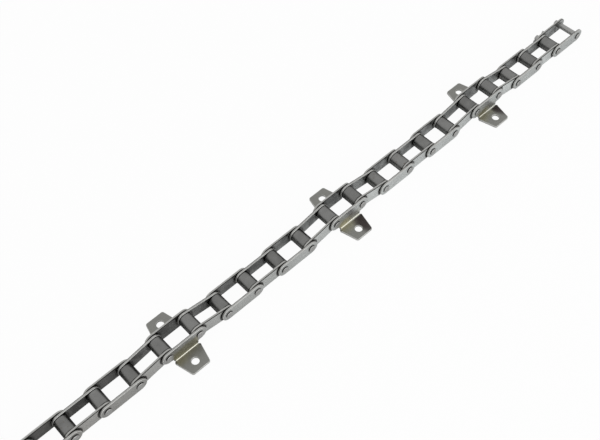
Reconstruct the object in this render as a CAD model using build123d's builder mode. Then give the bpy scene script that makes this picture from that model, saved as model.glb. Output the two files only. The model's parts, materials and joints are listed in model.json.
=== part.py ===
"""Steel roller chain for a conveyor: 22 pitches, with bent tabs on both sides of every third outer link.

The chain lies stretched out on the floor: X runs along it, Y along its pins, Z up. The origin is on the
floor, under the middle of the chain. Pin 0 is the free pin of the connecting link, at the +X end, and the
pins are counted towards -X. Link k joins pin k to pin k + 1: even links are the wide outer ones, odd links
the narrow inner ones. The tabs are bent outwards along the lower edge and stand on the floor, so the links
that carry them are held up higher than the rest and the inner links beside them slope.
"""

import os
from math import acos, asin, cos, degrees, radians, sin

from build123d import *

# ---- driving sizes, millimetres
pitch = 38.4  # from pin to pin
pitches = 22  # an even number, so that the chain ends on an inner link
inner_width = 19.05  # between the two plates of an inner link
plate_t = 2.6  # thickness of every plate
plate_h = 16.8  # height of every plate, and the width of its round ends
roller_d = 15.88
roller_chamfer = 0.5
bush_wall = 1.44
pin_d = 6.92

rivet_d = 8.4  # the head closed over a pin's end
rivet_h = 1.3
rivet_chamfer = 0.5

# running and side clearances
pin_gap = 0.05  # pin to bush, on the radius
roller_gap = 0.10  # bush to roller, on the radius
roller_side_gap = 0.20  # roller to inner plate, each end
link_side_gap = 0.15  # inner plate to outer plate, each side
press_seat = 0.01  # what is pressed in is drawn this much under its hole, on the radius
near = 0.01  # two places closer than this are the same

# attachment tabs
first_attachment = 4  # the first link that carries tabs
attachment_every = 6  # pitches from one pair of tabs to the next
tab_below = 6.8  # from the plate's lower edge down to the underside of the tab
tab_out = 23.9  # from the plate's outer face to the tab's outer edge
web_w = 31.0  # length of the web between plate and bend
web_corner = 1.5  # round inner corner between plate and web
tab_root = 32.4  # the tab's full width, next to the bend
tab_shoulder = 3.0  # from the plate's outer face to where the tab begins to taper
tab_edge = 22.0  # length of the outer edge, over its round corners
tab_corner = 2.5
tab_hole_d = 8.3
tab_hole_in = 10.275  # from the tab's outer edge to the hole's centre
bend_r = 1.8  # inside radius of the bend
relief_r = 1.3  # half-round relief at each end of the bend

# connecting link
free_end = 4.9  # how far its pins stand out of the cover plate
free_end_chamfer = 0.7
cover_gap = 0.06  # pin to cover plate, on the radius
cotter_hole_d = 2.1
cotter_hole_out = 1.75  # from the cover plate's outer face to the middle of the cross hole
cotter_wire_d = 1.9  # the two half-round legs together
cotter_split = 0.1  # between the legs
cotter_eye_d = 4.8
cotter_neck_r = 1.5
cotter_neck_gap = 0.4  # from the pin to where the legs part for the eye
cotter_past = 0.6  # from the pin to where the legs are bent apart
cotter_bend_r = 1.6
cotter_long_angle = 62
cotter_long_tip = 6.5
cotter_short_angle = 34
cotter_short_tip = 4.5

# ---- what follows from them
bush_d = pin_d + 2 * pin_gap + 2 * bush_wall
roller_bore = bush_d + 2 * roller_gap
roller_w = inner_width - 2 * roller_side_gap
inner_face = inner_width / 2 + plate_t  # outside of an inner plate, from the chain's centre plane
outer_face = inner_face + link_side_gap + plate_t  # outside of an outer plate
low_z = plate_h / 2  # height of a pin whose links lie on their edges
high_z = low_z + tab_below  # height of a pin whose link stands on its tabs
slope = asin((high_z - low_z) / pitch)

outer_links = range(0, pitches, 2)
inner_links = range(1, pitches, 2)
attachment_links = range(first_attachment, pitches, attachment_every)


def is_high(pin):
    """Whether this pin belongs to a link that stands on its tabs."""
    return pin in attachment_links or pin - 1 in attachment_links


def pin_places():
    """(x, z) of every pin, with the chain centred on the origin."""
    places = [(0.0, high_z if is_high(0) else low_z)]
    for pin in range(1, pitches + 1):
        z = high_z if is_high(pin) else low_z
        step = pitch if z == places[-1][1] else pitch * cos(slope)
        places.append((places[-1][0] - step, z))
    middle = places[-1][0] / 2
    return [(x - middle, z) for x, z in places]


pins = pin_places()


def link_plane(link, y):
    """Upright plane of a link at y, facing -Y: origin midway between the pins, x along the link."""
    (x0, z0), (x1, z1) = pins[link], pins[link + 1]
    along = Vector(x0 - x1, 0, z0 - z1).normalized()
    return Plane(origin=((x0 + x1) / 2, y, (z0 + z1) / 2), x_dir=along, z_dir=(0, -1, 0))


def plate_outline(hole_d):
    """A plate's outline, straight along top and bottom and round about each pin, with its two holes."""
    SlotCenterToCenter(pitch, plate_h)
    with Locations((pitch / 2, 0), (-pitch / 2, 0)):
        Circle(hole_d / 2, mode=Mode.SUBTRACT)


def inner_link(link):
    """Two narrow-set plates and the two bushes pressed through them, flush with their outsides."""
    with BuildPart() as narrow:
        for y in (inner_face, -inner_width / 2):
            with BuildSketch(link_plane(link, y)):
                plate_outline(bush_d + 2 * press_seat)
            extrude(amount=plate_t)
        with BuildSketch(link_plane(link, inner_face)):
            with Locations((pitch / 2, 0), (-pitch / 2, 0)):
                Circle(bush_d / 2)
                Circle(pin_d / 2 + pin_gap, mode=Mode.SUBTRACT)
        extrude(amount=2 * inner_face)
    narrow.part.label = f"inner_link_{link:02d}"
    return narrow.part


def roller(pin):
    """A plain roller, free to turn on its bush."""
    x, z = pins[pin]
    with BuildPart() as tyre:
        with BuildSketch(Plane((x, roller_w / 2, z), x_dir=(1, 0, 0), z_dir=(0, -1, 0))):
            Circle(roller_d / 2)
            Circle(roller_bore / 2, mode=Mode.SUBTRACT)
        extrude(amount=roller_w)
        rims = tyre.edges().filter_by(GeomType.CIRCLE).group_by(SortBy.RADIUS)[-1]
        chamfer(rims, roller_chamfer)
    tyre.part.label = f"roller_{pin:02d}"
    return tyre.part


def outer_plates(link):
    """The two plain plates of an outer link."""
    with BuildPart() as wide:
        for y in (outer_face, plate_t - outer_face):
            with BuildSketch(link_plane(link, y)):
                plate_outline(pin_d + 2 * press_seat)
            extrude(amount=plate_t)
    wide.part.label = f"outer_link_{link:02d}_plates"
    return wide.part


def riveted_pins(link, name):
    """The two pins of an outer link, each closed over the plates with a low round head at both ends."""
    with BuildPart() as riveted:
        with BuildSketch(link_plane(link, outer_face)):
            with Locations((pitch / 2, 0), (-pitch / 2, 0)):
                Circle(pin_d / 2)
        extrude(amount=2 * outer_face)
        for y in (outer_face + rivet_h, -outer_face):
            with BuildSketch(link_plane(link, y)):
                with Locations((pitch / 2, 0), (-pitch / 2, 0)):
                    Circle(rivet_d / 2)
            extrude(amount=rivet_h)
        ends = riveted.faces().filter_by(Axis.Y).sort_by(Axis.Y)
        chamfer((ends[:2] + ends[-2:]).edges(), rivet_chamfer)
    riveted.part.label = name
    return riveted.part


def attachment_plate(link, side):
    """An outer plate whose lower edge runs down between the pins and is bent outwards into a drilled tab.

    side is -1 for the plate at -Y and 1 for the one at +Y.
    """
    x = link_plane(link, 0).origin.X
    web_y = outer_face - plate_t / 2
    tab_z = plate_t / 2
    tab_edge_y = outer_face + tab_out
    bend_y = outer_face + bend_r  # the bend is round about this line
    bend_z = plate_t + bend_r
    section = Plane((x, 0, 0), x_dir=(0, side, 0), z_dir=(side, 0, 0))
    through_bend = Plane((x, side * bend_y, bend_z), x_dir=(1, 0, 0), z_dir=(0, -side, -1))
    with BuildPart() as bent:
        # web, bend and tab, a strip of even thickness
        with BuildSketch(section):
            with BuildLine():
                run = ((web_y, high_z), (web_y, tab_z), (tab_edge_y, tab_z))
                FilletPolyline(*run, radius=bend_r + plate_t / 2)
            trace(line_width=plate_t)
        extrude(amount=tab_root / 2, both=True)
        # seen from above: the web's width, a step out to the tab, a short straight shoulder, then the taper
        with BuildSketch(Plane((x, 0, 0))) as outline:
            with BuildLine():
                Polyline(
                    (0, 0),
                    (web_w / 2, 0),
                    (web_w / 2, side * bend_y),
                    (tab_root / 2, side * bend_y),
                    (tab_root / 2, side * (outer_face + tab_shoulder)),
                    (tab_edge / 2, side * tab_edge_y),
                    (0, side * tab_edge_y),
                )
                mirror(about=Plane.YZ)
            make_face()
            fillet(outline.vertices().group_by(Axis.Y)[-1 if side > 0 else 0], tab_corner)
        extrude(amount=high_z, mode=Mode.INTERSECT)
        with BuildSketch(Plane((x, side * (tab_edge_y - tab_hole_in), 0))):
            Circle(tab_hole_d / 2)
        extrude(amount=high_z, mode=Mode.SUBTRACT)
        # half-round reliefs, square to the middle of the bend
        with BuildSketch(through_bend):
            with Locations((web_w / 2, 0), (-web_w / 2, 0)):
                Circle(relief_r)
        extrude(amount=bend_r + 2 * plate_t, mode=Mode.SUBTRACT)
        # the upright plate with its web, rounded where the web leaves the plate's lower edge
        with BuildSketch(link_plane(link, side * web_y + plate_t / 2)) as upright:
            SlotCenterToCenter(pitch, plate_h)
            Rectangle(web_w, high_z - bend_z, align=(Align.CENTER, Align.MAX))
            lower_edge = upright.vertices().filter_by(lambda v: abs(v.Y + plate_h / 2) < near)
            fillet(lower_edge.filter_by(lambda v: abs(v.X) < pitch / 2 - near), web_corner)
            with Locations((pitch / 2, 0), (-pitch / 2, 0)):
                Circle(pin_d / 2 + press_seat, mode=Mode.SUBTRACT)
        extrude(amount=plate_t)
    bent.part.label = f"attachment_link_{link:02d}_{'near' if side < 0 else 'far'}_plate"
    return bent.part


def connecting_plate(y, hole_d, name):
    """A plate of the connecting link, its +Y side at y."""
    with BuildPart() as plate:
        with BuildSketch(link_plane(0, y)):
            plate_outline(hole_d)
        extrude(amount=plate_t)
    plate.part.label = name
    return plate.part


def connecting_pins():
    """Pins closed over the -Y plate and long enough past the cover plate for a cross hole."""
    with BuildPart() as long_pins:
        with BuildSketch(link_plane(0, outer_face + free_end)):
            with Locations((pitch / 2, 0), (-pitch / 2, 0)):
                Circle(pin_d / 2)
        extrude(amount=2 * outer_face + free_end)
        with BuildSketch(link_plane(0, -outer_face)):
            with Locations((pitch / 2, 0), (-pitch / 2, 0)):
                Circle(rivet_d / 2)
        extrude(amount=rivet_h)
        ends = long_pins.faces().filter_by(Axis.Y).sort_by(Axis.Y)
        chamfer(ends[:2].edges(), rivet_chamfer)
        chamfer(ends[-2:].edges(), free_end_chamfer)
        with BuildSketch(Plane.YZ.offset(pins[1][0] - pitch / 2)):
            with Locations((outer_face + cotter_hole_out, low_z)):
                Circle(cotter_hole_d / 2)
        extrude(amount=2 * pitch, mode=Mode.SUBTRACT)
    long_pins.part.label = "connecting_link_pins"
    return long_pins.part


def cotter_pin():
    """Half-round wire, flat side inwards: an eye on one side of pin 1, two legs bent apart on the other."""
    x, z = pins[1]
    centre = Plane((x, outer_face + cotter_hole_out, z), x_dir=(1, 0, 0), z_dir=(0, -1, 0))
    flat = cotter_split / 2
    wire_r = cotter_wire_d / 2 - flat
    eye_r = cotter_eye_d / 2 - wire_r
    parting = degrees(acos((flat + cotter_neck_r) / (cotter_neck_r + eye_r)))
    leg_end = pin_d / 2 + cotter_past
    tilt = radians(cotter_long_angle)
    bend_end = (leg_end + cotter_bend_r * sin(tilt), flat + cotter_bend_r * (1 - cos(tilt)))
    long_tip = (bend_end[0] + cotter_long_tip * cos(tilt), bend_end[1] + cotter_long_tip * sin(tilt))
    with BuildPart() as cotter:
        with BuildLine(centre) as run:
            tip = Line(long_tip, bend_end)
            bend = JernArc(tip @ 1, tip % 1, cotter_bend_r, -cotter_long_angle)
            upper = Line(bend @ 1, (-pin_d / 2 - cotter_neck_gap, flat))
            neck = JernArc(upper @ 1, upper % 1, cotter_neck_r, -parting)
            eye = JernArc(neck @ 1, neck % 1, eye_r, 180 + 2 * parting)
            back = JernArc(eye @ 1, eye % 1, cotter_neck_r, -parting)
            lower = Line(back @ 1, (leg_end, -flat))
            down = JernArc(lower @ 1, lower % 1, cotter_bend_r, -cotter_short_angle)
            Line(down @ 1, down @ 1 + cotter_short_tip * (down % 1))
        with BuildSketch(Plane(tip @ 0, x_dir=(0, 1, 0), z_dir=tip % 0)):
            Circle(wire_r)
            Rectangle(2 * wire_r, wire_r, align=(Align.CENTER, Align.MIN), mode=Mode.SUBTRACT)
        sweep(path=run.wires()[0])
    cotter.part.label = "cotter_pin"
    return cotter.part


def whole_chain():
    """Every node of the chain."""
    made = [
        connecting_plate(plate_t - outer_face, pin_d + 2 * press_seat, "connecting_link_plate"),
        connecting_plate(outer_face, pin_d + 2 * cover_gap, "connecting_link_cover_plate"),
        connecting_pins(),
        cotter_pin(),
    ]
    made += [inner_link(link) for link in inner_links]
    made += [roller(pin) for pin in range(1, pitches + 1)]
    for link in outer_links[1:]:
        if link in attachment_links:
            made += [attachment_plate(link, side) for side in (-1, 1)]
            made.append(riveted_pins(link, f"attachment_link_{link:02d}_pins"))
        else:
            made += [outer_plates(link), riveted_pins(link, f"outer_link_{link:02d}_pins")]
    return made


os.makedirs("parts", exist_ok=True)
for node in whole_chain():
    export_step(node, f"parts/{node.label}.step")
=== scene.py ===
"""Dresses a stretched-out conveyor chain: stamped plates, rollers, riveted pins, bent tabs and a cotter."""

import json
from collections import namedtuple
from functools import cached_property
from math import radians

import bmesh
import bpy
import numpy as np
from bpy.props import FloatProperty, FloatVectorProperty, PointerProperty
from bpy.types import Operator, Panel, PropertyGroup, Scene
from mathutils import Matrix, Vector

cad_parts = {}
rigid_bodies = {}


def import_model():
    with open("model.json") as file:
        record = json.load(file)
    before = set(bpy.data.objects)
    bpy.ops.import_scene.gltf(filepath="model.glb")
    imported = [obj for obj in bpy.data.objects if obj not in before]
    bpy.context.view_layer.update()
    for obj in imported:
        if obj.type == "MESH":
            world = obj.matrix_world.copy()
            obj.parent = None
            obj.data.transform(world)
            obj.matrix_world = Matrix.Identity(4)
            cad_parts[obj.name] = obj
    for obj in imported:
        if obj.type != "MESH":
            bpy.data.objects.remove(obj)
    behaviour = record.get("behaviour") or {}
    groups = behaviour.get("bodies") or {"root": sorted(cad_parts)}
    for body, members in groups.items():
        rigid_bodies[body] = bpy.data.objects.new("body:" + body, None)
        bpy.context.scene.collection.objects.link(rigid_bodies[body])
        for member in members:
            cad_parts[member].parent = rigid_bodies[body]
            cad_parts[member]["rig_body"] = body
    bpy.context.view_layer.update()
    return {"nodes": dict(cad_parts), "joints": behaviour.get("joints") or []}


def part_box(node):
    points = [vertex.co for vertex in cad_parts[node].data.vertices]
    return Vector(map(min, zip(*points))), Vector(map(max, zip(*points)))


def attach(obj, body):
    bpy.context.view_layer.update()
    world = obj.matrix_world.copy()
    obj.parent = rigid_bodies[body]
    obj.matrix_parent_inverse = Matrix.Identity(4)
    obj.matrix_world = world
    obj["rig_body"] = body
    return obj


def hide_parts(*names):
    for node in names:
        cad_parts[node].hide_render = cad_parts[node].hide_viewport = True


bl_info = {
    "name": "Conveyor Chain",
    "version": (1, 0, 0),
    "blender": (4, 5, 0),
    "location": "3D View > Sidebar > Chain",
    "description": "Makes a conveyor chain with bent tabs",
    "category": "Object",
}

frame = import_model()

MM = 0.001
WELD = 1e-7  # points closer than this are one point
ROUND_STEPS = 72  # steps once round a roller, bush or pin
END_STEPS = 32  # steps half round a plate's end
CORNER_STEPS = 6  # steps round a small rounded corner
SIDE_POINTS = 16  # points along half of a plate's side
PRESSED = 0.02 * MM  # what a hole is wider than the pin or bush pressed into it
LOOSE = 0.12 * MM  # what the cover plate's holes are wider than the pins
SHARP = radians(32)  # a round piece's corners from this on stay sharp
OLD_END = -0.40  # station along X where the steel is darkest and warmest
GOLDEN = 0.618034  # spreads the plates' tones evenly

SPINS = [joint for joint in frame["joints"] if joint["name"].startswith("spin_")]
PINS = {int(joint["name"][-2:]): np.array(joint["pos_m"]) for joint in SPINS}
LAST_PIN = max(PINS)
PITCH = float(np.linalg.norm(PINS[1] - PINS[2]))
PINS[0] = PINS[1] + (PITCH, 0.0, 0.0)


def links(pattern):
    """Numbers of the links whose node has such a name."""
    return [number for number in range(LAST_PIN) if pattern.format(number) in frame["nodes"]]


def extent(node):
    """Size of a CAD node along X, Y and Z."""
    low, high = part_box(node)
    return high - low


ATTACHMENTS = links("attachment_link_{:02d}_pins")
PLAIN_OUTER = links("outer_link_{:02d}_pins")
INNER = links("inner_link_{:02d}")
PLATE = extent("connecting_link_plate")
ROLLER = extent("roller_01")
OUTER_FACE = -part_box("connecting_link_plate")[0].y
INNER_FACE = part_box("inner_link_01")[1].y
RIVET_END = -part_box("connecting_link_pins")[0].y
GROOVE = (INNER_FACE + OUTER_FACE - PLATE.y) / 2  # station of the gap between an inner and an outer plate
FREE_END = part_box("connecting_link_pins")[1].y
TAB_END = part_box(f"attachment_link_{ATTACHMENTS[0]:02d}_far_plate")[1].y


# ---- sizes and colours that a user would change


def setting(kind, **fixed):
    """A short way to write the settings of one kind."""
    return lambda name, use, default: kind(name=name, description=use, default=default, **fixed)


length = setting(FloatProperty, min=0.0, unit="LENGTH", precision=5)
angle = setting(FloatProperty, unit="ROTATION")
share = setting(FloatProperty, min=0.0, max=1.0, subtype="FACTOR")
power = setting(FloatProperty, min=0.0, unit="POWER")
focal_length = setting(FloatProperty, min=1.0, unit="CAMERA")
colour = setting(FloatVectorProperty, min=0.0, max=1.0, subtype="COLOR")
shares = setting(FloatVectorProperty, min=0.0, max=1.0)
position = setting(FloatVectorProperty, unit="LENGTH")
rotation = setting(FloatVectorProperty, unit="ROTATION", subtype="EULER")


class PlateSizes(PropertyGroup):
    """The flat plates."""

    thickness: length("Thickness", "Thickness of every plate", PLATE.y)
    height: length("Height", "Height of every plate", PLATE.z)
    rolled_edge: length("Rolled edge", "Radius of the plates' tumbled edges", 0.40 * MM)


class RollerSizes(PropertyGroup):
    """The rollers and the bushes that they turn on."""

    diameter: length("Roller diameter", "Outside diameter of a roller", ROLLER.z)
    width: length("Roller width", "Length of a roller along its pin", ROLLER.y)
    rim: length("Rim radius", "Rounding of a roller's rims", 0.6 * MM)
    gap: length("Roller gap", "Clearance about a bush, on the radius", 0.10 * MM)
    bush: length("Bush diameter", "Outside diameter of a bush", 9.90 * MM)
    bush_bore: length("Bush bore", "Inside diameter of a bush", 7.02 * MM)
    bush_rim: length("Bush rim", "Rounding of a bush's ends", 0.15 * MM)


class PinSizes(PropertyGroup):
    """The pins, their closed heads and the connecting link's free ends."""

    diameter: length("Pin diameter", "Diameter of every pin", 6.92 * MM)
    head: length("Head diameter", "Diameter of a pin's closed head", 8.4 * MM)
    head_edge: length("Head edge", "Width and height of a head's sloping edge", 0.3 * MM)
    chamfer: length("Free end chamfer", "Chamfer on the free pin ends", 0.7 * MM)
    cross_hole: length("Cross hole", "Diameter of the hole for a cotter", 2.1 * MM)
    cross_out: length("Cross hole offset", "From the cover plate's face to the cross hole", 1.75 * MM)


class TabSizes(PropertyGroup):
    """The webs and bent tabs of the attachment plates."""

    web: length("Web width", "Width of the web between plate and bend", 31.0 * MM)
    web_corner: length("Web corner", "Inner corner between plate and web", 1.5 * MM)
    bend: length("Bend radius", "Inside radius of the bend", 1.8 * MM)
    relief: length("Relief radius", "Half-round reliefs beside the bend", 1.3 * MM)
    root: length("Root width", "Full width of a tab next to the bend", 32.4 * MM)
    shoulder: length("Shoulder", "From the plate's face to the tab's taper", 3.0 * MM)
    edge: length("Edge width", "Length of a tab's outer edge", 22.0 * MM)
    corner: length("Corner radius", "Radius of a tab's outer corners", 2.5 * MM)
    hole: length("Hole diameter", "Bolt hole of a tab", 8.3 * MM)
    hole_in: length("Hole distance", "From the tab's outer edge to the hole's centre", 10.275 * MM)
    film: shares("Film", "Film on each pair's near tab", (0.45, 1.0, 0.0))


class CotterSizes(PropertyGroup):
    """The cotter's half-round wire."""

    wire: length("Wire diameter", "The two legs together", 1.9 * MM)
    split: length("Split", "Gap between the legs", 0.1 * MM)
    eye: length("Eye", "Outside diameter of the eye", 4.8 * MM)
    neck: length("Neck radius", "Radius where the legs part for the eye", 1.5 * MM)
    neck_gap: length("Neck gap", "From the pin to where the legs part", 0.4 * MM)
    past: length("Past the pin", "From the pin to where the legs are bent apart", 0.6 * MM)
    bend: length("Bend radius", "Radius of the bend in each leg", 1.6 * MM)
    long_angle: angle("Long leg angle", "How far the long leg is bent up", radians(62))
    long_tip: length("Long leg tip", "Straight end of the long leg", 6.5 * MM)
    short_angle: angle("Short leg angle", "How far the short leg is bent down", radians(34))
    short_tip: length("Short leg tip", "Straight end of the short leg", 4.5 * MM)


class Finishes(PropertyGroup):
    """Colours of the steel."""

    plate: colour("Plate steel", "Rolled faces of the plates", (0.38, 0.375, 0.36))
    cool: colour("Cool steel", "Plates' tone towards the connecting link", (0.60, 0.62, 0.612))
    cut: colour("Cut edge", "Sheared edges", (0.56, 0.56, 0.54))
    worn: colour("Worn edge", "Where edges have rubbed bright", (0.68, 0.68, 0.66))
    # dried oil and painted shade: it darkens the groove between plates, rings about the heads, bands off the
    # plates' ends and the rollers' ends
    grime: colour("Grime", "Dried oil between plates and about pins", (0.020, 0.018, 0.016))
    roller: colour("Roller steel", "Heat-treated rollers", (0.262, 0.262, 0.255))
    rust: colour("Rust", "Brown spots on the rollers", (0.16, 0.09, 0.05))
    oiled: share("Oiled steel", "Brightness of inner faces under old oil", 0.52)
    bush: colour("Bush steel", "Bushes", (0.45, 0.45, 0.44))
    pin: colour("Pin steel", "Pins and their heads", (0.46, 0.46, 0.45))
    olive: colour("Olive film", "Film on a web and beside the bend", (0.35, 0.338, 0.262))
    plum: colour("Plum film", "Thickest film, at one end of the bend", (0.065, 0.052, 0.052))
    tab: colour("Tab film", "Thin film towards a tab's edge", (0.31, 0.31, 0.29))
    # painted highlight: the pale line along the bend
    bright_bend: colour("Bright bend", "Steel burnished in the bend", (0.66, 0.645, 0.56))
    wire: colour("Wire", "Cotter wire", (0.52, 0.52, 0.51))


class StudioSettings(PropertyGroup):
    """Floor, light and camera."""

    floor: length("Floor", "Width of the floor", 8.0)
    floor_colour: colour("Floor colour", "Colour of the floor", (0.85, 0.85, 0.85))
    seen_white: share("Seen white", "How white the camera sees the floor", 0.96)
    gloss_white: share("White in gloss", "How much white shows in reflections", 0.12)
    sky: share("Sky", "Brightness of the room", 0.64)
    key: power("Key lamp", "Power of the long soft lamp", 12.0)
    key_wide: length("Key width", "Length of the soft lamp along the chain", 2.6)
    key_high: length("Key height", "Height of the soft lamp", 1.1)
    key_at: position("Key place", "Middle of the soft lamp", (0.08027, -1.47696, 0.61005))
    camera: position("Camera", "Camera from the free pin", (-0.814727, -0.410461, 0.809940))
    look: rotation("Camera turn", "About X, Y and Z", np.radians((35.10485, 1.55865, -43.02596)))
    lens: focal_length("Lens", "Focal length for a 36 mm sensor", 54.593)


# ---- lines


def turtle(heading, runs):
    """Points of a line made of runs (length, turn, steps).

    The line begins at (0, 0). Each step turns by an equal share of the turn and goes along its chord, the
    step's length times sin(half its turn) over half its turn, so a run that turns is an exact arc.
    """
    turn = np.concatenate([np.full(steps, total / steps) for _, total, steps in runs])
    step = np.concatenate([np.full(steps, far / steps) for far, _, steps in runs])
    course = heading + np.cumsum(turn) - turn / 2
    chord = step * np.sinc(turn / (2 * np.pi))
    moves = chord[:, None] * beside(np.cos(course), np.sin(course))
    return np.vstack([(0, 0), np.cumsum(moves, axis=0)])


def unit(vectors):
    """Vectors scaled to length 1."""
    return vectors / np.linalg.norm(vectors, axis=-1, keepdims=True)


def corner_arc(before, corner, after, radius, steps=CORNER_STEPS):
    """Arc of that radius that touches both sides of a corner.

    At share t it is centre + (start sin((1 - t) w) + end sin(t w)) / sin w, and it turns through w in all.
    """
    if radius == 0:
        return corner[None]
    first, last = unit(before - corner), unit(after - corner)
    half = np.arccos(np.clip(first @ last, -1, 1)) / 2
    centre = corner + unit(first + last) * radius / np.sin(half)
    reach = radius / np.tan(half)
    start, end = corner + first * reach - centre, corner + last * reach - centre
    swing = np.pi - 2 * half
    t = np.linspace(0, 1, steps + 1)[:, None]
    return centre + (np.sin((1 - t) * swing) * start + np.sin(t * swing) * end) / np.sin(swing)


def rounded(corners, radii):
    """A line through these corners, each rounded to its radius."""
    corners = np.array(corners, float)
    before, after = np.roll(corners, 1, axis=0), np.roll(corners, -1, axis=0)
    return np.vstack([corner_arc(*one) for one in zip(before, corners, after, radii)])


def tube(end, outside, bore, rim, bore_rim):
    """Closed section of a tube from -end to end along its pin, with rounded rims."""
    corners = [(-end, outside), (end, outside), (end, bore), (-end, bore)]
    line = rounded(corners, [rim, rim, bore_rim, bore_rim])
    return np.vstack([line, line[:1]])


# ---- surfaces: grids of points, with the place of each point on the flat metal

Sheet = namedtuple("Sheet", "points metal")


def beside(*parts):
    """Points, or places on the metal, from their parts side by side."""
    return np.stack(np.broadcast_arrays(*parts), axis=-1)


def revolve(profile, centre):
    """Surface of revolution about a pin's line.

    At angle a and profile point (y, r) it is the centre, plus r along (cos a, 0, sin a), plus y along Y.
    On the metal, u goes round at the largest radius and v along the profile.
    """
    a = np.linspace(0, 2 * np.pi, ROUND_STEPS + 1)[:, None]
    y, r = profile[:, 0], profile[:, 1]
    along = np.concatenate([[0], np.cumsum(np.linalg.norm(np.diff(profile, axis=0), axis=1))])
    return Sheet(beside(r * np.cos(a), y, r * np.sin(a)) + centre, beside(a * r.max(), along))


def ruled(first, last, rows):
    """Rows of points from one line to another: at share s, first + s (last - first)."""
    return first + np.linspace(0, 1, rows)[:, None, None] * (last - first)


def holed(outline, centre, radius, rows=4):
    """Flat ring, ruled from the point of a round hole nearest each point of the outline."""
    return ruled(centre + radius * unit(outline - centre), outline, rows)


def plate_half(lower, height, hole):
    """Half a flat plate, about one pin; lower holds the stations along its lower edge.

    Its outline goes out along that edge, half round the pin, back along the top and down the middle.
    """
    pin, r = PITCH / 2, height / 2
    turn = np.linspace(-np.pi / 2, np.pi / 2, END_STEPS + 1)
    end = beside(pin + r * np.cos(turn), r * np.sin(turn))
    top = np.linspace((pin, r), (0, r), SIDE_POINTS)
    middle = np.linspace((0, r), (0, -r), 12)
    outline = np.vstack([beside(lower, -r), end, top, middle])
    return holed(outline, np.array([pin, 0.0]), hole / 2)


def mirrored(flat):
    """The same flat shape or profile on the other side of the middle."""
    return flat * (-1, 1)


def outward(sheet, side):
    """The sheet in the order that makes its front look away from the chain's middle.

    (a, b) on the metal turn into (X, Z), whose front is -Y, where the grid's own turn is positive.
    """
    across, down = sheet.metal[0, 1] - sheet.metal[0, 0], sheet.metal[1, 0] - sheet.metal[0, 0]
    turn = (down[0] * across[1] - down[1] * across[0]) * side
    return Sheet(sheet.points[:, ::-1], sheet.metal[:, ::-1]) if turn > 0 else sheet


def stand_up(flat, link, y):
    """Puts a flat shape (a, b) upright at y: a along the link from its middle, b across it, upwards."""
    middle = (PINS[link] + PINS[link + 1]) / 2
    along = unit(PINS[link] - PINS[link + 1])
    up = np.cross(along, (0, 1, 0))
    points = middle + flat[..., :1] * along + flat[..., 1:] * up + (0, y, 0)
    return outward(Sheet(points, flat), np.sign(y))


def bend_of(plate, tab):
    """Radius of the metal's middle in a bend, and how far below the pins the bend begins and ends."""
    radius = tab.bend + plate.thickness / 2
    upright = PINS[ATTACHMENTS[0]][2] - plate.thickness - tab.bend
    return radius, upright, upright + radius * np.pi / 2


def bend_down(flat, link, side, plate, tab):
    """Folds an attachment's flat pattern.

    With d the distance below the pins, the metal goes straight down to the bend, round a quarter of a
    circle about the bend's line at the radius of the metal's middle, and then straight out:
    y = bend line - radius cos t + what is left, z = height of the bend - radius sin t.
    """
    radius, upright, bent = bend_of(plate, tab)
    pin = (PINS[link] + PINS[link + 1]) / 2
    down = -flat[..., 1]
    t = np.clip((down - upright) / radius, 0, np.pi / 2)
    y = OUTER_FACE + tab.bend - radius * np.cos(t) + np.maximum(down - bent, 0)
    z = pin[2] - np.minimum(down, upright) - radius * np.sin(t)
    return outward(Sheet(beside(pin[0] + flat[..., 0], side * y, z), flat), side)


def attachment_pattern(plate, tab, pin_hole):
    """Flat pattern of an attachment plate: two plate halves, the web with its reliefs, and the tab.

    The web is a grid whose row at depth d is as wide as the metal there: the plate's rounded corners,
    the straight web, then the half-round relief, half width = half web - sqrt(relief^2 - h^2), where h is
    the distance from the middle of the bend, measured square to it.
    """
    radius, upright, bent = bend_of(plate, tab)
    half_web = tab.web / 2

    turn = np.linspace(0, np.pi / 2, CORNER_STEPS + 1)
    corner = (plate.height / 2, half_web) + tab.web_corner * (1 - beside(np.cos(turn), np.sin(turn)))
    turn = np.linspace(0, np.pi, 17)
    tilt = radius * np.arcsin(-tab.relief * np.cos(turn) / radius)
    relief = beside((upright + bent) / 2 + tilt, half_web - tab.relief * np.sin(turn))
    above = np.linspace((upright, half_web), relief[0], 4)
    below = np.linspace(relief[-1], (bent, half_web), 4)
    rows = np.vstack([corner, above, relief, below])
    columns = np.linspace(-1, 1, 41)
    web = beside(np.outer(rows[:, 1], columns), -rows[:, :1])

    lower = np.append(web[0, columns.size // 2 :, 0], PITCH / 2)
    half = plate_half(lower, plate.height, pin_hole)

    taper, edge = bent + tab.shoulder - tab.bend, bent + TAB_END - OUTER_FACE - tab.bend
    corners = [(tab.root / 2, -bent), (tab.root / 2, -taper), (tab.edge / 2, -edge), (0, -edge)]
    root, shoulder, outer, middle = np.array(corners)
    arc = corner_arc(shoulder, outer, middle, tab.corner, 12)
    side = np.vstack([
        np.linspace((half_web, -bent), root, 3),
        np.linspace(root, shoulder, 6),
        np.linspace(shoulder, arc[0], 24),
        arc,
        np.linspace(arc[-1], middle, 14),
    ])
    outline = np.vstack([web[-1], side, mirrored(side)[::-1]])
    hole = np.array([0, tab.hole_in - edge])
    return [half, mirrored(half), web, holed(outline, hole, tab.hole / 2, 6)]


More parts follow.
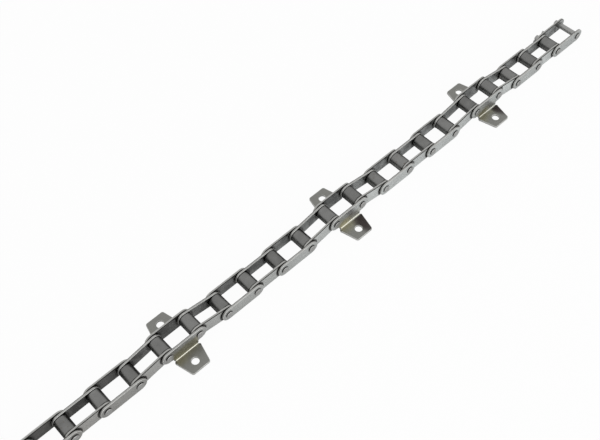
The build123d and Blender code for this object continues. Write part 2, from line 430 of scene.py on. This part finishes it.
def cross_drilled(place, radius, hole, y, reach):
    """Stretch of a round pin with a hole drilled across it along X.

    Each half of the pin's skin is ruled, in angle and height, from the hole's mouth to its own edge. The
    mouth is where a circle square to X meets the skin: angle = arcsin(hole radius sin t over pin radius).
    The wall is ruled straight from one mouth to the other.
    """
    a = np.linspace(-np.pi / 2, np.pi / 2, ROUND_STEPS // 2 + 1)
    rise = np.linspace(-reach, reach, 9)
    edge = np.vstack([beside(a, -reach), beside(np.pi / 2, rise)])
    edge = np.vstack([edge, -edge])
    way = unit(edge * (radius, 1))
    mouth = beside(np.arcsin(hole / 2 * way[:, 0] / radius), hole / 2 * way[:, 1])
    flat = ruled(mouth, edge, 6)
    x, z = radius * np.cos(flat[..., 0]), radius * np.sin(flat[..., 0])
    halves = [beside(side * x, y + flat[..., 1], z) + place for side in (1, -1)]
    wall = ruled(halves[0][0], halves[1][0], 5)
    return [Sheet(half, flat * (radius, 1)) for half in halves] + [Sheet(wall, wall[..., :2])]


def half_round(line, place, radius, round_steps=12, tip_steps=5):
    """Half-round wire along a line (x, z): flat on the line's left, round on its right.

    Its section is radius times (sin t, cos t) for t from 0 to half a turn, closed by the flat, and it
    shrinks to a point over the last rows at each end, by cos of the share of a quarter turn.
    """
    row = np.arange(-tip_steps, len(line) + tip_steps)
    on_line = np.clip(row, 0, len(line) - 1)
    heading = unit(np.gradient(line, axis=0))[on_line]
    right = beside(heading[:, 1], -heading[:, 0])
    t = np.linspace(0, np.pi, round_steps + 1)
    section = np.vstack([beside(np.sin(t), np.cos(t)), beside(0, -np.cos(t))])
    fade = np.cos(np.linspace(0, np.pi / 2, tip_steps))
    shrink = np.concatenate([fade[::-1], np.ones(len(line)), fade])[:, None]
    push = heading * np.sign(row)[:, None] * radius * 0.5 * np.sqrt(1 - shrink**2)
    centre = line[on_line] + push + right * (1 - shrink) * radius / 2
    out, y = radius * shrink * section[:, 0], radius * shrink * section[:, 1]
    x, z = centre[:, :1] + right[:, :1] * out, centre[:, 1:] + right[:, 1:] * out
    along = np.linspace(0, 1, len(centre))[:, None]
    return Sheet(beside(x, y, z) + place, beside(along, y))


# ---- pieces


def weld(sheets):
    """Joins grids of points into one skin.

    Points in the same place become one, a face that loses a side there becomes a triangle, and one that
    loses two goes. Returns the points, the faces' corners in order, the corners' places on the metal and
    how many corners each face has.
    """
    points = np.concatenate([sheet.points.reshape(-1, 3) for sheet in sheets])
    metal = np.concatenate([sheet.metal.reshape(-1, 2) for sheet in sheets])
    quads, start = [], 0
    for sheet in sheets:
        rows, columns = sheet.points.shape[:2]
        index = start + np.arange(rows * columns).reshape(rows, columns)
        ring = [index[:-1, :-1], index[1:, :-1], index[1:, 1:], index[:-1, 1:]]
        quads.append(np.stack(ring, axis=-1).reshape(-1, 4))
        start += rows * columns
    quads = np.concatenate(quads)
    _, first, joined = np.unique(np.round(points / WELD), axis=0, return_index=True, return_inverse=True)
    corners = joined.reshape(-1)[quads]
    kept = corners != np.roll(corners, -1, axis=1)
    kept[kept.sum(axis=1) < 3] = False
    sizes = kept.sum(axis=1)
    return points[first], corners[kept], metal[quads[kept]], sizes[sizes > 0]


def put(name, data):
    """An object with that data, put in the scene."""
    item = bpy.data.objects.new(name, data)
    bpy.context.scene.collection.objects.link(item)
    return item


def skin(name, sheets, tone=0.5):
    """A mesh object at the origin from grids of points."""
    points, corners, metal, sizes = weld(sheets)
    mesh = bpy.data.meshes.new(name)
    mesh.vertices.add(len(points))
    mesh.vertices.foreach_set("co", points.ravel())
    mesh.loops.add(len(corners))
    mesh.loops.foreach_set("vertex_index", corners)
    mesh.polygons.add(len(sizes))
    mesh.polygons.foreach_set("loop_start", np.cumsum(sizes) - sizes)
    mesh.update(calc_edges=True)
    mesh.uv_layers.new(name="metal").data.foreach_set("uv", metal.ravel())
    mesh.attributes.new("tone", "FLOAT", "POINT").data.foreach_set("value", np.full(len(points), tone))
    if mesh.validate():
        raise RuntimeError(f"{name}: the grids don't make a sound mesh")
    mesh.shade_smooth()
    return put(name, mesh)


def turned(name, sheets, tone=0.5):
    """A closed round or wire piece, its faces turned outwards, smooth but for its sharp corners."""
    piece = skin(name, sheets, tone)
    work = bmesh.new()
    work.from_mesh(piece.data)
    bmesh.ops.recalc_face_normals(work, faces=work.faces)
    work.to_mesh(piece.data)
    work.free()
    piece.data.set_sharp_from_angle(angle=SHARP)
    return piece


def roll_edges(mesh, raw):
    """Marks a flat sheet's outline to be rolled, but for depths on the metal between the two in raw.

    An edge of the outline belongs to one face only.
    """
    edges = np.empty(len(mesh.loops), int)
    mesh.loops.foreach_get("edge_index", edges)
    metal = np.empty(2 * len(mesh.loops), np.float32)
    mesh.uv_layers["metal"].data.foreach_get("uv", metal)
    depth = -metal[1::2]
    uses = np.bincount(edges, minlength=len(mesh.edges))
    weights = np.zeros(len(mesh.edges), np.float32)
    weights[edges] = (uses[edges] == 1) & ((depth < raw[0]) | (depth > raw[1]))
    mesh.attributes.new("bevel_weight_edge", "FLOAT", "EDGE").data.foreach_set("value", weights)


def stamped(name, sheets, sizes, tone, raw=(1.0, 0.0)):
    """A plate: its middle surface thickened evenly, with rolled edges but for the raw ones.

    Its materials: 0 outer face, 1 sheared edge, 2 rolled edge between them, 3 inner face.
    """
    piece = skin(name, sheets, tone)
    roll_edges(piece.data, raw)
    wall = piece.modifiers.new("Thickness", "SOLIDIFY")
    wall.thickness, wall.offset, wall.use_even_offset = sizes.thickness, 0.0, True
    wall.material_offset, wall.material_offset_rim = 3, 1
    edge = piece.modifiers.new("Rolled edge", "BEVEL")
    edge.width, edge.segments, edge.material = sizes.rolled_edge, 3, 2
    edge.limit_method, edge.use_clamp_overlap = "WEIGHT", False
    piece.modifiers.new("Flat faces", "WEIGHTED_NORMAL").keep_sharp = False
    return piece


def dress(piece, node, materials, stands_for=True):
    """Paints a piece and puts it on a CAD node's body, in the node's place unless told otherwise."""
    for material in materials:
        piece.data.materials.append(material)
    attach(piece, frame["nodes"][node]["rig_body"])
    if stands_for:
        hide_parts(node)


def tone_of(number):
    """A tone from 0 to 1, well spread over neighbouring numbers."""
    return number * GOLDEN % 1


# ---- steels


def by_node(operation):
    """A sum that one node works out."""

    def work(*numbers):
        return numbers[0].finish.read(0, "ShaderNodeMath", dict(enumerate(numbers)), operation=operation)

    return work


class Field:
    """What a node gives over a surface, added and multiplied as numbers are."""

    def __init__(self, finish, socket):
        self.finish, self.socket = finish, socket

    __add__ = __radd__ = by_node("ADD")
    __sub__ = by_node("SUBTRACT")
    __mul__ = __rmul__ = by_node("MULTIPLY")
    __truediv__ = by_node("DIVIDE")
    __pow__ = by_node("POWER")
    __abs__ = by_node("ABSOLUTE")
    __or__ = by_node("MAXIMUM")  # the greater of two

    def axis(self, name):
        """One part of a vector."""
        return self.finish.read(name, "ShaderNodeSeparateXYZ", {0: self})

    def ramp(self, low, high, first=0.0, last=1.0):
        """Runs smoothly from first to last between low and high."""
        inputs = {"Value": self, "From Min": low, "From Max": high, "To Min": first, "To Max": last}
        return self.finish.read("Result", "ShaderNodeMapRange", inputs, interpolation_type="SMOOTHSTEP")

    def fall(self, low, high):
        """Falls smoothly from 1 to 0 between low and high."""
        return self.ramp(low, high, 1.0, 0.0)

    def mottled(self, first, last):
        """Runs from first to last over the middle of a noise."""
        return self.ramp(0.3, 0.7, first, last)


class Finish:
    """The nodes of one material, or of the room."""

    def __init__(self, name, room=None):
        self.material = room or bpy.data.materials.new(name)
        self.material.use_nodes = True
        self.tree = self.material.node_tree
        self.tree.nodes.clear()

    def add(self, kind, inputs=(), **settings):
        """A node with these settings; an input is joined where it is a field, and set otherwise."""
        node = self.tree.nodes.new(kind)
        for name, value in settings.items():
            setattr(node, name, value)
        for name, value in dict(inputs).items():
            if isinstance(value, Field):
                self.tree.links.new(value.socket, node.inputs[name])
            else:
                node.inputs[name].default_value = value
        return node

    def read(self, output, kind, inputs=(), **settings):
        """One output of a new node."""
        return Field(self, self.add(kind, inputs, **settings).outputs[output])

    @cached_property
    def place(self):
        """Place on the object, which is its place at rest."""
        return self.read("Object", "ShaderNodeTexCoord")

    def metal(self):
        """Place on the flat metal: u and v."""
        uv = self.read("UV", "ShaderNodeUVMap", uv_map="metal")
        return uv.axis("X"), uv.axis("Y")

    def tone(self):
        """The piece's own tone."""
        return self.read("Fac", "ShaderNodeAttribute", attribute_name="tone")

    def noise(self, scale, detail=2.0, roughness=0.5, where=None):
        """Cloudy noise, about 0.5."""
        inputs = {"Vector": where or self.place, "Scale": scale, "Detail": detail, "Roughness": roughness}
        return self.read("Fac", "ShaderNodeTexNoise", inputs)

    def streaks(self, *scales):
        """Noise with a scale of its own along X, Y and Z."""
        where = self.read("Vector", "ShaderNodeMapping", {"Vector": self.place, "Scale": scales})
        return self.noise(1.0, 3.0, where=where)

    def turning_marks(self, around, along, detail):
        """Noise on a round piece's metal, with a scale round it and one along it."""
        u, v = self.metal()
        where = self.read("Vector", "ShaderNodeCombineXYZ", {"X": u * around, "Y": v * along})
        return self.noise(1.0, detail, where=where)

    def blend(self, factor, first, last):
        """From one colour to another."""
        colours = [tint if isinstance(tint, Field) else (*tint, 1.0) for tint in (first, last)]
        return self.read(2, "ShaderNodeMix", {0: factor, 6: colours[0], 7: colours[1]}, data_type="RGBA")

    def shaded(self, tint, value):
        """A colour times a number."""
        tint = tint if isinstance(tint, Field) else tuple(tint)
        return self.read(0, "ShaderNodeVectorMath", {0: tint, "Scale": value}, operation="SCALE")

    def done(self, tint, roughness, height, depth, grazing=1.0):
        """Ends the tree in bare metal with that colour, roughness, relief and share of grazing reflection."""
        relief = self.read(0, "ShaderNodeBump", {"Height": height, "Distance": depth, "Strength": 1.0})
        inputs = {"Base Color": tint, "Roughness": roughness, "Metallic": 1.0, "Normal": relief}
        inputs["Specular Tint"] = (grazing, grazing, grazing, 1.0)
        metal = self.read(0, "ShaderNodeBsdfPrincipled", inputs)
        self.add("ShaderNodeOutputMaterial", {"Surface": metal})
        return self.material


def varied(*terms):
    """1 plus each noise's (value - 0.5) times its weight."""
    return sum((weight * (noise - 0.5) for noise, weight in terms), 1.0)


def oil_in_gap(finish):
    """1 in the groove between inner and outer plates, and 0 a little way off it: where the edges get dried
    oil and painted shade.
    """
    off = abs(abs(finish.place.axis("Y")) - GROOVE)
    ragged = off - 0.4 * MM * finish.noise(500.0)
    return ragged.fall(0.32 * MM, 0.72 * MM)


def oil_ring(finish, inside, full, edge, gone, least):
    """Dried oil and painted shade about each pin, by the distance from it: 1 from full to edge, 0 beyond
    gone, least up to inside.
    """
    u, v = finish.metal()
    away = ((abs(u) - PITCH / 2) ** 2.0 + v**2.0) ** 0.5
    return away.fall(edge, gone) * away.ramp(inside, full, least)


def rolled(finish, colours):
    """Bare rolled plate, cooler towards +X: its height with grain and pits, the grain alone, its colour."""
    grain = finish.streaks(90.0, 1100.0, 1100.0)
    pits = finish.noise(900.0).ramp(0.30, 0.42)
    cooler = finish.place.axis("X").ramp(OLD_END, 0.10)
    return 0.6 * pits + 0.4 * grain, grain, finish.blend(cooler, colours.plate, colours.cool)


def plate_steel(colours, name, edge, gone, thin, thick, pale):
    """Rolled plate: cloudy, streaked along its grain, with a dark ring of dried oil and painted shade about
    each pin.
    """
    finish = Finish(name)
    height, grain, tint = rolled(finish, colours)
    clouds = finish.noise(42.0, 4.0, 0.6)
    spread = varied((clouds, 0.30), (grain, 0.16), (finish.tone(), 0.14))
    tint = finish.shaded(tint, spread * pale)
    # a ring of dried oil and painted shade: round the heads on outer plates, beside the outer plates' ends on
    # inner plates
    ring = oil_ring(finish, edge - 2.6 * MM, edge - 1.1 * MM, edge, gone, 0.25)
    ring_strength = finish.noise(240.0, 3.0).ramp(0.35, 0.65, thin, thick)
    tint = finish.blend(ring * ring_strength, tint, colours.grime)
    return finish.done(tint, clouds.mottled(0.34, 0.50), height, 0.004 * MM)


def cut_steel(colours, name):
    """Sheared edge: fine scores across the metal."""
    finish = Finish(name)
    scores = finish.streaks(1600.0, 130.0, 1600.0)
    tint = finish.blend(finish.noise(90.0, 3.0).mottled(0.0, 0.3), colours.cut, colours.plate)
    # dried oil and painted shade darken the sheared edge by the groove between the plates
    tint = finish.blend(oil_in_gap(finish), finish.shaded(tint, varied((scores, 0.5))), colours.grime)
    return finish.done(tint, scores.mottled(0.34, 0.50), scores, 0.008 * MM)


def oiled_steel(colours, name):
    """Inner face of a plate: rolled steel under old oil, thin in places, with painted shadow just off the
    plates' ends.
    """
    finish = Finish(name)
    height, grain, tint = rolled(finish, colours)
    clouds = finish.noise(60.0, 4.0, 0.6)
    wiped = clouds.ramp(0.36, 0.60, colours.oiled, 1.0) * finish.place.axis("X").ramp(OLD_END, 0.25, 0.56)
    spread = wiped * varied((grain, 0.16), (finish.tone(), 0.16))
    # painted shadow of the rollers and of the inner plates' ends, in a ring just off the plates' ends
    edge = PLATE.z / 2 + 0.6 * MM
    ring = oil_ring(finish, edge - 1.0 * MM, edge, edge, edge + 2.6 * MM, 0.2)
    tint = finish.blend(0.75 * ring, finish.shaded(tint, spread), colours.grime)
    return finish.done(tint, clouds.mottled(0.16, 0.28), height, 0.004 * MM)


def worn_steel(colours, name):
    """Rolled edge, rubbed bright in places."""
    finish = Finish(name)
    rubbed = finish.noise(160.0, 3.0)
    tint = finish.blend(rubbed.ramp(0.30, 0.58), colours.cut, colours.worn)
    # dried oil and painted shade darken the rolled edge by the groove between the plates
    tint = finish.blend(oil_in_gap(finish), tint, colours.grime)
    return finish.done(tint, rubbed.mottled(0.60, 0.50), rubbed, 0.001 * MM)


def roller_steel(colours, name):
    """Heat-treated roller: turning marks round it, clouds, a few brown spots, and oil with painted shade on
    its ends.
    """
    finish = Finish(name)
    marks = finish.turning_marks(25.0, 2600.0, 3.0)
    clouds = finish.noise(110.0, 4.0, 0.6)
    tint = finish.shaded(colours.roller, varied((clouds, 0.60), (marks, 0.16), (finish.tone(), 0.30)))
    spots = finish.noise(300.0, 4.0, 0.7).ramp(0.60, 0.70) * finish.noise(28.0, 1.0).ramp(0.56, 0.66)
    tint = finish.blend(spots, tint, colours.rust)
    # painted shade and some oil on the roller's ends, where it meets the plates
    end = ROLLER.y / 2 - 0.5 * MM
    oil = abs(finish.place.axis("Y")).ramp(end - 0.6 * MM, end, 0.0, 0.8)
    tint = finish.blend(oil, tint, colours.grime)
    return finish.done(tint, clouds.mottled(0.28, 0.42), marks, 0.005 * MM, grazing=0.3)


def ringed(finish, tint):
    """A colour with clouds and fine rings, the clouds, and the rings."""
    rings, clouds = finish.turning_marks(0.0, 2200.0, 2.0), finish.noise(220.0, 3.0)
    return finish.shaded(tint, varied((clouds, 0.3), (rings, 0.2), (finish.tone(), 0.1))), clouds, rings


def round_steel(colours, name, tint):
    """Ground or drawn steel with rings along its length: bushes and wire."""
    finish = Finish(name)
    shade, clouds, rings = ringed(finish, tint)
    return finish.done(shade, clouds.mottled(0.28, 0.42), rings, 0.008 * MM)


def pin_end_steel(colours, name):
    """Pin steel, painted black round its upright side next to the plate: painted shade, with some oil."""
    finish = Finish(name)
    shade, clouds, rings = ringed(finish, colours.pin)
    # painted shade, with some oil, on the head's upright side
    upright = abs(finish.read("Normal", "ShaderNodeNewGeometry").axis("Y")).fall(0.15, 0.45)
    out = abs(finish.place.axis("Y")) - OUTER_FACE
    oil = upright * out.ramp(-0.4 * MM, -0.1 * MM) * out.fall(0.7 * MM, 1.0 * MM)
    shade = finish.blend(oil, shade, colours.grime)
    return finish.done(shade, clouds.mottled(0.38, 0.50), rings, 0.004 * MM)


def film_steel(colours, name, tab, upright, bent):
    """Attachment plate: bare rolled steel above, an olive film from web to tab, and a painted highlight along
    the bend.

    The film's borders lie along the depth on the flat metal, pushed about by noise. A plum-coloured patch
    lies beside one end of the bend, in an ellipse that grows with the piece's tone.
    """
    finish = Finish(name)
    height, grain, tint = rolled(finish, colours)
    clouds, drift = finish.noise(55.0, 4.0, 0.6), finish.noise(34.0) - 0.5
    tone, (u, v) = finish.tone(), finish.metal()
    depth, half_web = -1.0 * v, tab.web / 2

    thin = tone.fall(0.0, 0.3)
    moved = depth + 0.10 * u + 16 * MM * drift + 4 * MM * thin
    on_tab = depth.ramp(bent - 1.0 * MM, bent + 0.5 * MM)
    low = PLATE.z / 2
    below = depth.ramp(low, low + 1 * MM) | abs(u).fall(half_web - 1.0 * MM, half_web + 1.5 * MM)
    kept = (u + 14 * MM * drift).ramp(-4 * MM, 9 * MM, 1.0, 0.25) | thin | on_tab
    strong = 1.0 + 0.6 * on_tab.fall(0.0, 1.0) * tone.ramp(0.5, 1.0)
    olive = finish.shaded(colours.olive, strong)
    tint = finish.blend(moved.ramp(0.0, 6 * MM) * below * kept, tint, olive)
    tint = finish.blend(moved.ramp(bent + 1 * MM, bent + 11 * MM), tint, colours.tab)

    across = (u - 12 * MM) / (8 * MM * tone + 4 * MM)
    down = (depth - (bent + 2 * MM)) / (27 * MM * tone + 5 * MM)
    ellipse = across**2.0 + down**2.0 + 2.5 * drift
    plum = ellipse.ramp(0.15, 1.6, 0.95, 0.0) * on_tab * tone.ramp(0.05, 0.45)
    tint = finish.shaded(finish.blend(plum, tint, colours.plum), varied((clouds, 0.34), (grain, 0.14)))

    # painted highlight: a pale line along the middle of the bend, a little less rough there
    mouth = half_web - tab.relief
    line = abs(depth - (upright + bent) / 2).fall(0.2 * MM, 1.3 * MM)
    line = line * abs(u).fall(mouth - 0.6 * MM, mouth + 0.4 * MM)
    highlighted = line * clouds.ramp(0.3, 0.6, 0.6)
    tint = finish.blend(highlighted, tint, colours.bright_bend)
    return finish.done(tint, clouds.mottled(0.34, 0.46) - 0.05 * highlighted, height, 0.004 * MM)


# ---- operators, one for each piece or group of like pieces


class ChainOperator:
    """Holds the scene's sizes and colours, each group under its own name."""

    bl_options = {"REGISTER", "UNDO"}

    def execute(self, context):
        for group in GROUPS:
            setattr(self, group, getattr(context.scene, "chain_" + group))
        self.make()
        return {"FINISHED"}

    def steel(self, make, name, *more):
        """The material of that name, made when a piece first asks for it.

        No name is one of the frame's own slots, whose plain materials come in with it.
        """
        return bpy.data.materials.get(name) or make(self.colours, name, *more)

    def plate_steels(self, face):
        """Outer face, sheared edge, rolled edge and inner face of a stamped plate."""
        return [face] + [self.steel(make, make.__name__) for make in (cut_steel, worn_steel, oiled_steel)]

    def pair_of_plates(self, name, node, link, faces, hole, slot, face_steel, tone):
        """Flat plates of one link, their outer faces at these stations along Y."""
        half = plate_half(np.linspace(0, PITCH / 2, SIDE_POINTS), self.plates.height, hole)
        middles = [y - np.sign(y) * self.plates.thickness / 2 for y in faces]
        sheets = [stand_up(flat, link, y) for y in middles for flat in (half, mirrored(half))]
        dress(stamped(name, sheets, self.plates, tone), node, self.plate_steels(face_steel))

    def outer_steel(self):
        """Plate steel with dried oil and painted shade about the pins' heads."""
        head = self.pins.head / 2
        return self.steel(plate_steel, "outer_plate_steel", head, head + 0.9 * MM, 0.1, 0.7, 1.0)

    def pin_steel(self):
        """Steel of every pin."""
        return [self.steel(pin_end_steel, "pin_end_steel")]

    def head_profile(self):
        """A closed head from its middle in to the pin's skin, as (station along Y, radius)."""
        end, head, slope = RIVET_END, self.pins.head / 2, self.pins.head_edge
        corners = [(end, 0), (end, head - 2 * slope), (end, head - slope), (end - slope, head)]
        corners += [(OUTER_FACE, head), (OUTER_FACE, self.pins.diameter / 2)]
        return rounded(corners, [0, 0, 0.2 * MM, 0.2 * MM, 0, 0])

    def riveted_pins(self, node, link):
        """Both pins of an outer link, closed over at both ends."""
        far = self.head_profile()
        profile = np.vstack([mirrored(far), far[::-1]])
        sheets = [revolve(profile, PINS[pin]) for pin in (link, link + 1)]
        pins = turned(f"{node}_rivets", sheets, tone_of(link))
        dress(pins, f"{node}_pins", self.pin_steel())


class CHAIN_OT_inner_links(ChainOperator, Operator):
    """Makes the narrow links' plates"""

    bl_idname = "chain.inner_links"
    bl_label = "Inner link plates"

    def make(self):
        end = self.plates.height / 2
        # the ring on the inner plates' faces is painted shadow of the outer plates' ends, with some dried oil
        face = self.steel(plate_steel, "inner_plate_steel", end + 1.3 * MM, end + 2.6 * MM, 0.85, 1.0, 1.15)
        hole, faces = self.rollers.bush + PRESSED, (-INNER_FACE, INNER_FACE)
        for link in INNER:
            node = f"inner_link_{link:02d}"
            self.pair_of_plates(f"{node}_plates", node, link, faces, hole, "inner_steel", face, tone_of(link))


class CHAIN_OT_bushes(ChainOperator, Operator):
    """Makes the bushes pressed into the narrow links' plates"""

    bl_idname = "chain.bushes"
    bl_label = "Bushes"

    def make(self):
        sizes = self.rollers
        profile = tube(INNER_FACE, sizes.bush / 2, sizes.bush_bore / 2, sizes.bush_rim, sizes.bush_rim)
        bush_steel = self.steel(round_steel, "bush_steel", self.colours.bush)
        for link in INNER:
            sheets = [revolve(profile, PINS[pin]) for pin in (link, link + 1)]
            piece = turned(f"inner_link_{link:02d}_bushes", sheets, tone_of(link))
            dress(piece, f"inner_link_{link:02d}", [bush_steel], stands_for=False)


class CHAIN_OT_rollers(ChainOperator, Operator):
    """Makes the rollers"""

    bl_idname = "chain.rollers"
    bl_label = "Rollers"

    def make(self):
        sizes = self.rollers
        bore = sizes.bush / 2 + sizes.gap
        profile = tube(sizes.width / 2, sizes.diameter / 2, bore, sizes.rim, sizes.bush_rim)
        face = self.steel(roller_steel, "tyre_steel")
        for pin in range(1, LAST_PIN + 1):
            piece = turned(f"roller_{pin:02d}_tyre", [revolve(profile, PINS[pin])], tone_of(pin))
            dress(piece, f"roller_{pin:02d}", [face])


class CHAIN_OT_outer_links(ChainOperator, Operator):
    """Makes the wide links' plain plates and their riveted pins"""

    bl_idname = "chain.outer_links"
    bl_label = "Outer links"

    def make(self):
        hole, faces, face = self.pins.diameter + PRESSED, (-OUTER_FACE, OUTER_FACE), self.outer_steel()
        for link in PLAIN_OUTER:
            node = f"outer_link_{link:02d}"
            names = (f"{node}_pair", f"{node}_plates")
            self.pair_of_plates(*names, link, faces, hole, "outer_steel", face, tone_of(link))
            self.riveted_pins(node, link)


class CHAIN_OT_attachments(ChainOperator, Operator):
    """Makes the attachment links: bent plates with drilled tabs, filmed on the near side only, and pins"""

    bl_idname = "chain.attachments"
    bl_label = "Attachment links"

    def make(self):
        plate, tab = self.plates, self.tabs
        _, upright, bent = bend_of(plate, tab)
        raw = (plate.height / 2 + tab.web_corner - 0.1 * MM, bent + tab.shoulder - tab.bend + 0.5 * MM)
        face = self.steel(film_steel, "film_steel", tab, upright, bent)
        pattern = attachment_pattern(plate, tab, self.pins.diameter + PRESSED)
        for link, film in zip(ATTACHMENTS, tab.film):
            node = f"attachment_link_{link:02d}"
            for side, word, tone in ((-1, "near", film), (1, "far", 0.0)):
                sheets = [bend_down(flat, link, side, plate, tab) for flat in pattern]
                piece = stamped(f"{node}_{word}_bent", sheets, plate, tone, raw)
                dress(piece, f"{node}_{word}_plate", self.plate_steels(face))
            self.riveted_pins(node, link)


class CHAIN_OT_connecting_link(ChainOperator, Operator):
    """Makes the connecting link: its plates and its cross-drilled pins"""

    bl_idname = "chain.connecting_link"
    bl_label = "Connecting link"

    def make(self):
        pins, face = self.pins, self.outer_steel()
        plates = [
            ("riveted_plate", "connecting_link_plate", -OUTER_FACE, PRESSED),
            ("cover_plate", "connecting_link_cover_plate", OUTER_FACE, LOOSE),
        ]
        for number, (name, node, y, play) in enumerate(plates):
            hole = pins.diameter + play
            self.pair_of_plates(name, node, 0, (y,), hole, "outer_steel", face, tone_of(number))
        radius, hole = pins.diameter / 2, OUTER_FACE + pins.cross_out
        reach = 0.7 * pins.cross_hole
        near = np.vstack([mirrored(self.head_profile()), (hole - reach, radius)])
        chamfer = [(FREE_END - pins.chamfer, radius), (FREE_END, radius - pins.chamfer)]
        corners = [(hole + reach, radius), *chamfer, (FREE_END, 0)]
        far = rounded(corners, [0, 0.15 * MM, 0.15 * MM, 0])
        sheets = []
        for pin in (PINS[0], PINS[1]):
            sheets += [revolve(near, pin), revolve(far, pin)]
            sheets += cross_drilled(pin, radius, pins.cross_hole, hole, reach)
        dress(turned("cross_drilled_pins", sheets), "connecting_link_pins", self.pin_steel())


class CHAIN_OT_cotter(ChainOperator, Operator):
    """Makes the cotter through the connecting link's second pin"""

    bl_idname = "chain.cotter"
    bl_label = "Cotter"

    def make(self):
        sizes = self.cotter
        flat = sizes.split / 2
        radius = sizes.wire / 2 - flat
        eye = sizes.eye / 2 - radius
        parting = np.arccos((flat + sizes.neck) / (sizes.neck + eye))
        pin, tilt = self.pins.diameter / 2, sizes.long_angle
        legs = 2 * pin + sizes.past + sizes.neck_gap
        tip, bend = 6, 14  # steps along the long leg's tip and bend
        line = turtle(np.pi + tilt, [
            (sizes.long_tip, 0, tip),
            (sizes.bend * tilt, -tilt, bend),
            (legs, 0, 8),
            (sizes.neck * parting, -parting, 10),
            (eye * (np.pi + 2 * parting), np.pi + 2 * parting, 40),
            (sizes.neck * parting, -parting, 10),
            (legs, 0, 8),
            (sizes.bend * sizes.short_angle, -sizes.short_angle, 10),
            (sizes.short_tip, 0, 5),
        ])
        line += (pin + sizes.past, flat) - line[tip + bend]
        place = PINS[1] + (0, OUTER_FACE + self.pins.cross_out, 0)
        wire = self.steel(round_steel, "wire_steel", self.colours.wire)
        piece = turned("split_cotter", [half_round(line, place, radius)])
        dress(piece, "cotter_pin", [wire])


class CHAIN_OT_studio(ChainOperator, Operator):
    """Lays the floor, and sets the lamp, the room and the camera"""

    bl_idname = "chain.studio"
    bl_label = "Studio"

    def make(self):
        self.lay_floor()
        self.light_room()
        self.hang_lamp()
        self.set_camera()

    def lay_floor(self):
        """A pale floor a little below the chain, which keeps the chain's shadow."""
        half = self.studio.floor / 2
        x, y = np.meshgrid((-half, half), (-half, half))
        floor = skin("floor", [Sheet(beside(x, y, -0.2 * MM), beside(x, y))])
        finish = Finish("floor_paper")
        paper = finish.shaded(self.studio.floor_colour, varied((finish.noise(900.0), 0.02)))
        matt = finish.read(0, "ShaderNodeBsdfDiffuse", {"Color": paper})
        seen = self.whiter(finish, matt, "ShaderNodeEmission", self.studio.seen_white)
        finish.add("ShaderNodeOutputMaterial", {"Surface": seen})
        floor.data.materials.append(finish.material)

    def whiter(self, finish, surface, light, seen):
        """A surface or room made whiter to the camera, and in gloss and glass, but not as a light."""
        rays = ("Is Camera Ray", "Is Glossy Ray", "Is Transmission Ray")
        camera, glossy, clear = [finish.read(ray, "ShaderNodeLightPath") for ray in rays]
        factor = camera * seen + (glossy | clear) * self.studio.gloss_white
        white = finish.read(0, light, {"Color": (1.0, 1.0, 1.0, 1.0), "Strength": 1.0})
        return finish.read(0, "ShaderNodeMixShader", {0: factor, 1: surface, 2: white})

    def light_room(self):
        """Plain walls, white to the camera, that light the chain evenly."""
        world = bpy.data.worlds.new("room")
        bpy.context.scene.world = world
        finish = Finish("room", world)
        grey = {"Color": (1.0, 1.0, 1.0, 1.0), "Strength": self.studio.sky}
        walls = finish.read(0, "ShaderNodeBackground", grey)
        seen = self.whiter(finish, walls, "ShaderNodeBackground", 1.0)
        finish.add("ShaderNodeOutputWorld", {"Surface": seen})

    def hang_lamp(self):
        """The long soft lamp, facing the chain's middle."""
        studio = self.studio
        data = bpy.data.lights.new("key_lamp", "AREA")
        data.shape, data.energy = "RECTANGLE", studio.key
        data.size, data.size_y = studio.key_wide, studio.key_high
        lamp = put("key_lamp", data)
        lamp.location = studio.key_at
        lamp.rotation_euler = (-lamp.location).to_track_quat("-Z", "Y").to_euler()

    def set_camera(self):
        """The camera by its place from the free pin and its turn."""
        studio = self.studio
        data = bpy.data.cameras.new("camera")
        data.lens, data.clip_start, data.clip_end = studio.lens, 0.01, 20.0
        camera = put("camera", data)
        camera.location = PINS[0] + studio.camera
        camera.rotation_euler = studio.look
        bpy.context.scene.camera = camera


OPERATORS = tuple(ChainOperator.__subclasses__())  # every operator above, in that order
GROUPS = {
    "plates": PlateSizes,
    "rollers": RollerSizes,
    "pins": PinSizes,
    "tabs": TabSizes,
    "cotter": CotterSizes,
    "colours": Finishes,
    "studio": StudioSettings,
}


class CHAIN_PT_panel(Panel):
    """Lists the chain's makers and their sizes"""

    bl_idname = "CHAIN_PT_panel"
    bl_label = "Conveyor chain"
    bl_space_type = "VIEW_3D"
    bl_region_type = "UI"
    bl_category = "Chain"

    def draw(self, context):
        for operator in OPERATORS:
            self.layout.operator(operator.bl_idname)
        for group, kind in GROUPS.items():
            box = self.layout.box()
            for name in kind.__annotations__:
                box.prop(getattr(context.scene, "chain_" + group), name)


def register():
    """Registers the settings, the operators and the panel."""
    for group, kind in GROUPS.items():
        bpy.utils.register_class(kind)
        setattr(Scene, "chain_" + group, PointerProperty(type=kind))
    for made in (*OPERATORS, CHAIN_PT_panel):
        bpy.utils.register_class(made)


def unregister():
    """Takes them off again."""
    for made in (CHAIN_PT_panel, *reversed(OPERATORS)):
        bpy.utils.unregister_class(made)
    for group, kind in reversed(GROUPS.items()):
        delattr(Scene, "chain_" + group)
        bpy.utils.unregister_class(kind)


def main():
    """Registers the makers, makes the chain and its studio, and sets the Standard view transform."""
    register()
    for operator in OPERATORS:
        getattr(bpy.ops.chain, operator.bl_idname.split(".")[1])()
    bpy.context.scene.view_settings.view_transform = "Standard"


if __name__ == "__main__":
    main()
